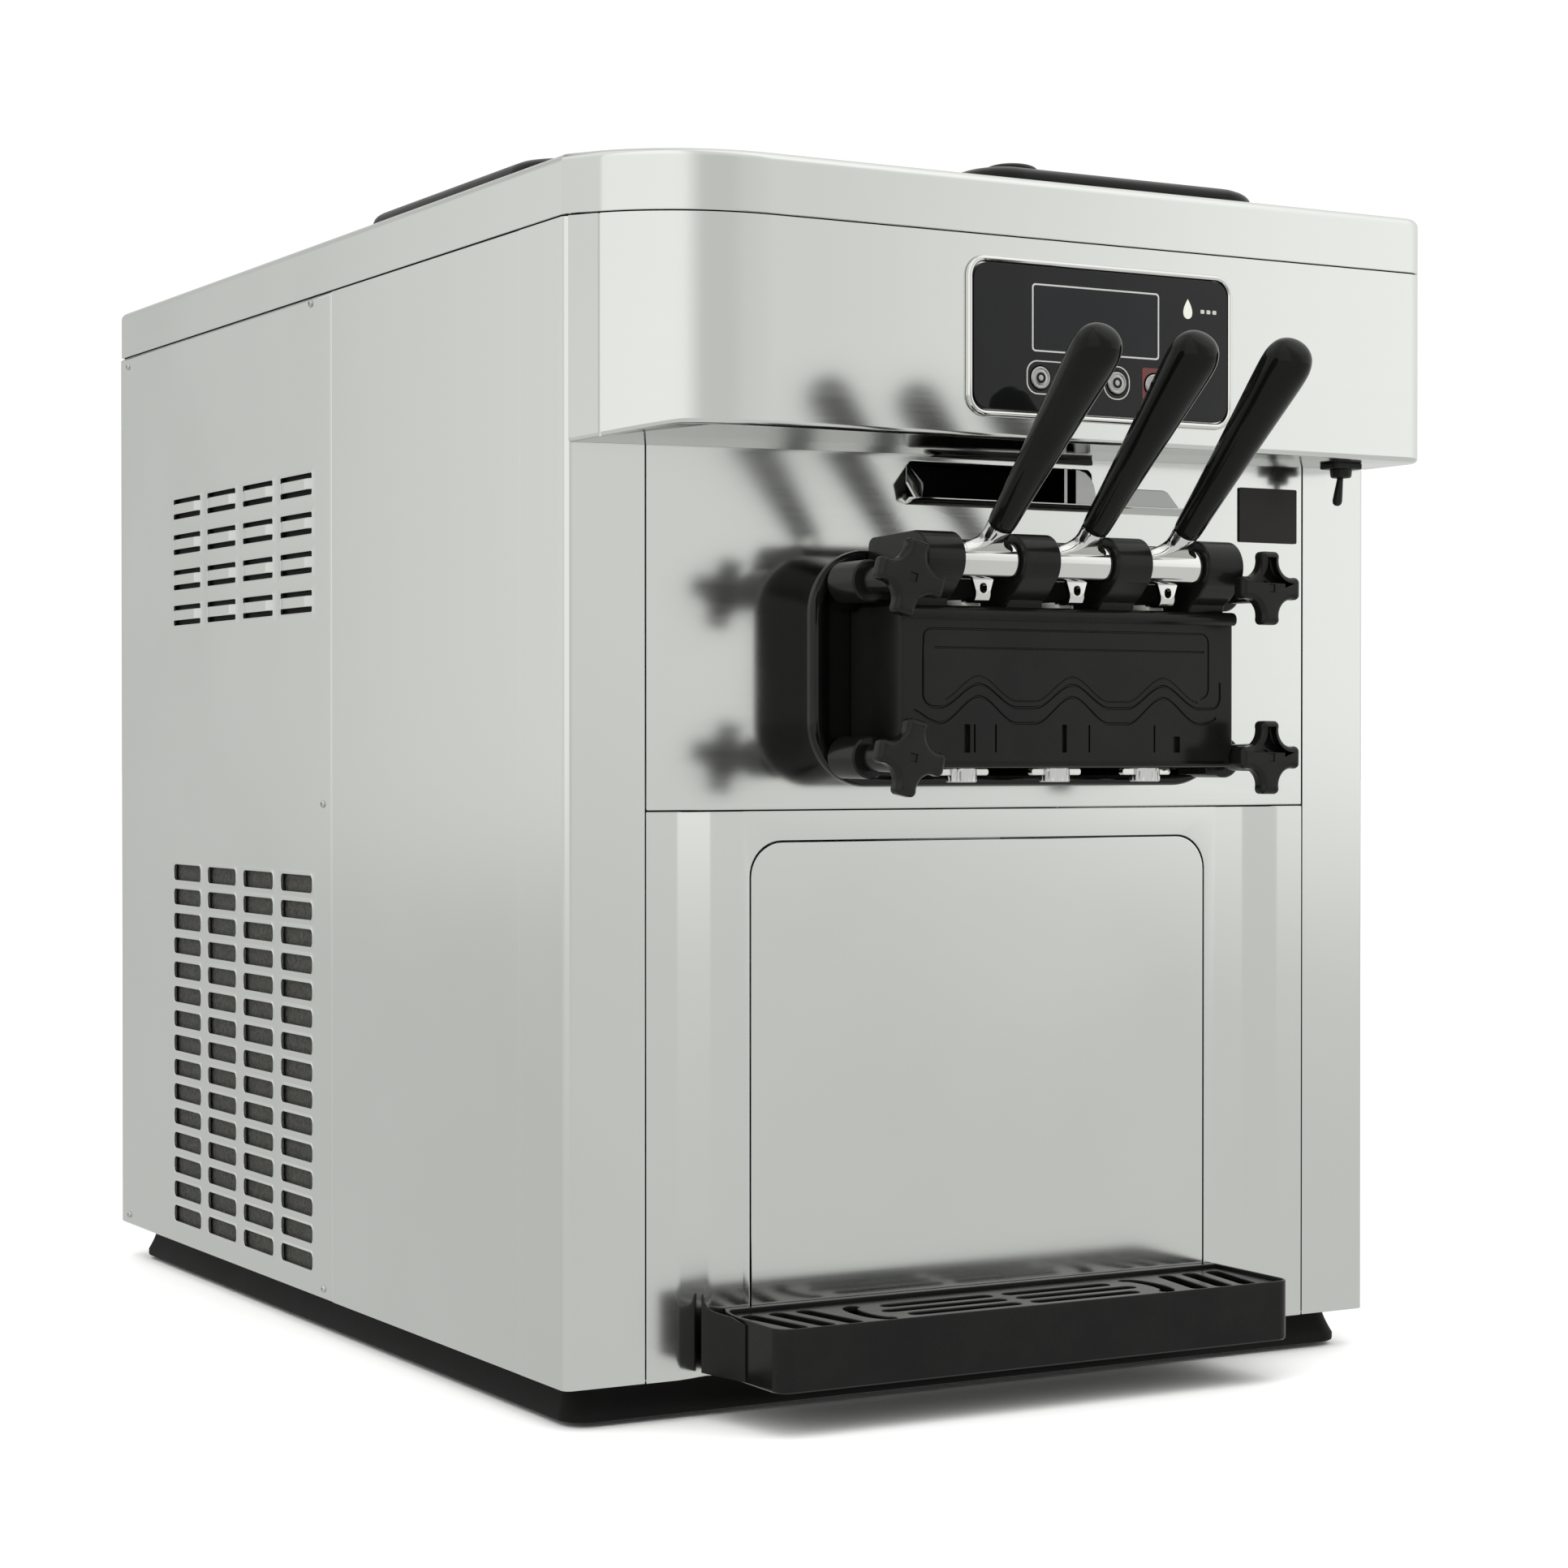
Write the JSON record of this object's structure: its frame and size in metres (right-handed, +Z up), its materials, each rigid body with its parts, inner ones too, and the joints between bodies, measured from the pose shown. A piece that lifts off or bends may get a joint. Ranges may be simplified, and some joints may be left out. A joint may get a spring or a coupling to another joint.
{
  "type": "soft serve machine",
  "caption": "Countertop soft serve freezer with draw handles, hoppers under lift-off lids, a drip tray and a vented steel cabinet.",
  "frame": {"origin": "on the counter plane under the middle of the whole machine, handles included", "axes": "+Z up, -Y the side the handles face, +X to the right of a person standing in front"},
  "size_m": [0.543, 0.9388, 0.7315],
  "materials": {
    "casing": "brushed stainless sheet, satin, brush lines up and down",
    "bright": "polished",
    "gloss_black": "high gloss moulded",
    "satin_black": "semi-gloss moulded",
    "tray_black": "satin moulded",
    "label": "blank satin plate",
    "display": "dark glass over a display",
    "rubber": "matt",
    "deck": "mill",
    "machined": "machined and finned",
    "coated": "black enamel",
    "plunger_plastic": "food grade, slightly rough"
  },
  "bodies": {
    "cabinet": {"base_plinth": "rubber", "foot_rail_left": "rubber", "foot_rail_right": "rubber", "equipment_deck": "deck", "side_panel_left": "casing", "side_panel_right": "casing", "vent_panel_left": "casing", "vent_panel_right": "casing", "corner_post_left": "casing", "corner_post_right": "casing", "rear_panel": "casing", "hood_fascia": "casing", "top_cover": "casing", "front_upper_panel": "casing", "front_lower_panel": "casing", "service_panel": "casing", "handle_switch_pocket": "bright", "label_plate": "label", "control_bezel": "bright", "control_panel": "display", "toggle_switch_body": "satin_black", "freezer_door_flange": "gloss_black", "valve_body": "satin_black", "pivot_shaft": "bright", "nozzle_left": "bright", "nozzle_centre": "bright", "nozzle_right": "bright", "hopper_left": "casing", "hopper_right": "casing", "freezing_cylinders": "casing", "drive_motor": "coated", "compressor": "coated", "condenser": "machined", "drive_belt": "rubber"},
    "draw_handle_left": {"handle_arm_left": "bright", "handle_grip_left": "satin_black"},
    "plunger_unit_left": {"plunger_left": "plunger_plastic"},
    "draw_handle_centre": {"handle_arm_centre": "bright", "handle_grip_centre": "satin_black"},
    "plunger_unit_centre": {"plunger_centre": "plunger_plastic"},
    "draw_handle_right": {"handle_arm_right": "bright", "handle_grip_right": "satin_black"},
    "plunger_unit_right": {"plunger_right": "plunger_plastic"},
    "push_button_1": {"button_1": "satin_black"},
    "push_button_2": {"button_2": "satin_black"},
    "push_button_3": {"button_3": "satin_black"},
    "push_button_4": {"button_4": "satin_black"},
    "toggle": {"toggle_lever": "satin_black"},
    "lid_left": {"hopper_lid_left": "satin_black"},
    "lid_right": {"hopper_lid_right": "satin_black"},
    "tray": {"drip_tray": "tray_black"},
    "grille": {"drip_grille": "tray_black"},
    "knob_left_upper": {"star_knob_left_upper": "satin_black"},
    "knob_left_lower": {"star_knob_left_lower": "satin_black"},
    "knob_right_upper": {"star_knob_right_upper": "satin_black"},
    "knob_right_lower": {"star_knob_right_lower": "satin_black"},
    "motor_shaft": {"motor_pulley": "machined"},
    "beater_unit_left": {"beater_left": "plunger_plastic"},
    "beater_unit_right": {"beater_right": "plunger_plastic"},
    "fan": {"fan_blades": "satin_black"}
  },
  "joints": [
    {"name": "draw_handle_left_pull", "type": "hinge", "parent": "cabinet", "child": "draw_handle_left", "pos_m": [-0.0625, -0.34858, 0.465], "axis": [1, 0, 0], "range_deg": [0, 45]},
    {"name": "plunger_left_lift", "type": "slide", "parent": "cabinet", "child": "plunger_unit_left", "axis": [0, 0, 1], "range_m": [0, 0.0125]},
    {"name": "draw_handle_centre_pull", "type": "hinge", "parent": "cabinet", "child": "draw_handle_centre", "pos_m": [-0.0015, -0.34858, 0.465], "axis": [1, 0, 0], "range_deg": [0, 45]},
    {"name": "plunger_centre_lift", "type": "slide", "parent": "cabinet", "child": "plunger_unit_centre", "axis": [0, 0, 1], "range_m": [0, 0.0125]},
    {"name": "draw_handle_right_pull", "type": "hinge", "parent": "cabinet", "child": "draw_handle_right", "pos_m": [0.0595, -0.34858, 0.465], "axis": [1, 0, 0], "range_deg": [0, 45]},
    {"name": "plunger_right_lift", "type": "slide", "parent": "cabinet", "child": "plunger_unit_right", "axis": [0, 0, 1], "range_m": [0, 0.0125]},
    {"name": "button_1_press", "type": "slide", "parent": "cabinet", "child": "push_button_1", "axis": [0, 1, 0], "range_m": [0, 0.0012]},
    {"name": "button_2_press", "type": "slide", "parent": "cabinet", "child": "push_button_2", "axis": [0, 1, 0], "range_m": [0, 0.0012]},
    {"name": "button_3_press", "type": "slide", "parent": "cabinet", "child": "push_button_3", "axis": [0, 1, 0], "range_m": [0, 0.0012]},
    {"name": "button_4_press", "type": "slide", "parent": "cabinet", "child": "push_button_4", "axis": [0, 1, 0], "range_m": [0, 0.0012]},
    {"name": "toggle_flip", "type": "hinge", "parent": "cabinet", "child": "toggle", "pos_m": [0.2255, -0.29658, 0.5282], "axis": [0, 1, 0], "range_deg": [-18, 0]},
    {"name": "hopper_lid_left_lift", "type": "slide", "parent": "cabinet", "child": "lid_left", "axis": [0, 0, 1], "range_m": [0, 0.12]},
    {"name": "hopper_lid_right_lift", "type": "slide", "parent": "cabinet", "child": "lid_right", "axis": [0, 0, 1], "range_m": [0, 0.12]},
    {"name": "drip_tray_pull_out", "type": "slide", "parent": "cabinet", "child": "tray", "axis": [0, -1, 0], "range_m": [0, 0.12]},
    {"name": "drip_grille_lift", "type": "slide", "parent": "tray", "child": "grille", "axis": [0, 0, 1], "range_m": [0, 0.05]},
    {"name": "star_knob_left_upper_turn", "type": "hinge", "parent": "cabinet", "child": "knob_left_upper", "pos_m": [-0.1205, -0.34858, 0.4535], "axis": [0, 1, 0], "continuous": true},
    {"name": "star_knob_left_lower_turn", "type": "hinge", "parent": "cabinet", "child": "knob_left_lower", "pos_m": [-0.1205, -0.34858, 0.359], "axis": [0, 1, 0], "continuous": true},
    {"name": "star_knob_right_upper_turn", "type": "hinge", "parent": "cabinet", "child": "knob_right_upper", "pos_m": [0.1145, -0.34858, 0.4535], "axis": [0, 1, 0], "continuous": true},
    {"name": "star_knob_right_lower_turn", "type": "hinge", "parent": "cabinet", "child": "knob_right_lower", "pos_m": [0.1145, -0.34858, 0.359], "axis": [0, 1, 0], "continuous": true},
    {"name": "motor_spin", "type": "hinge", "parent": "cabinet", "child": "motor_shaft", "pos_m": [-0.0015, 0.13142, 0.262], "axis": [0, 1, 0], "continuous": true},
    {"name": "beater_left_spin", "type": "hinge", "parent": "cabinet", "child": "beater_unit_left", "pos_m": [-0.0565, 0.13142, 0.407], "axis": [0, 1, 0], "continuous": true},
    {"name": "beater_right_spin", "type": "hinge", "parent": "cabinet", "child": "beater_unit_right", "pos_m": [0.0535, 0.13142, 0.407], "axis": [0, 1, 0], "continuous": true},
    {"name": "fan_spin", "type": "hinge", "parent": "cabinet", "child": "fan", "pos_m": [-0.2095, 0.22642, 0.163], "axis": [1, 0, 0], "continuous": true}
  ],
  "couplings": [
    {"joint": "plunger_left_lift", "follows": "draw_handle_left_pull", "m_per_rad": 0.0153},
    {"joint": "plunger_centre_lift", "follows": "draw_handle_centre_pull", "m_per_rad": 0.0153},
    {"joint": "plunger_right_lift", "follows": "draw_handle_right_pull", "m_per_rad": 0.0153},
    {"joint": "beater_left_spin", "follows": "motor_spin", "ratio": 0.4},
    {"joint": "beater_right_spin", "follows": "motor_spin", "ratio": 0.4}
  ]
}
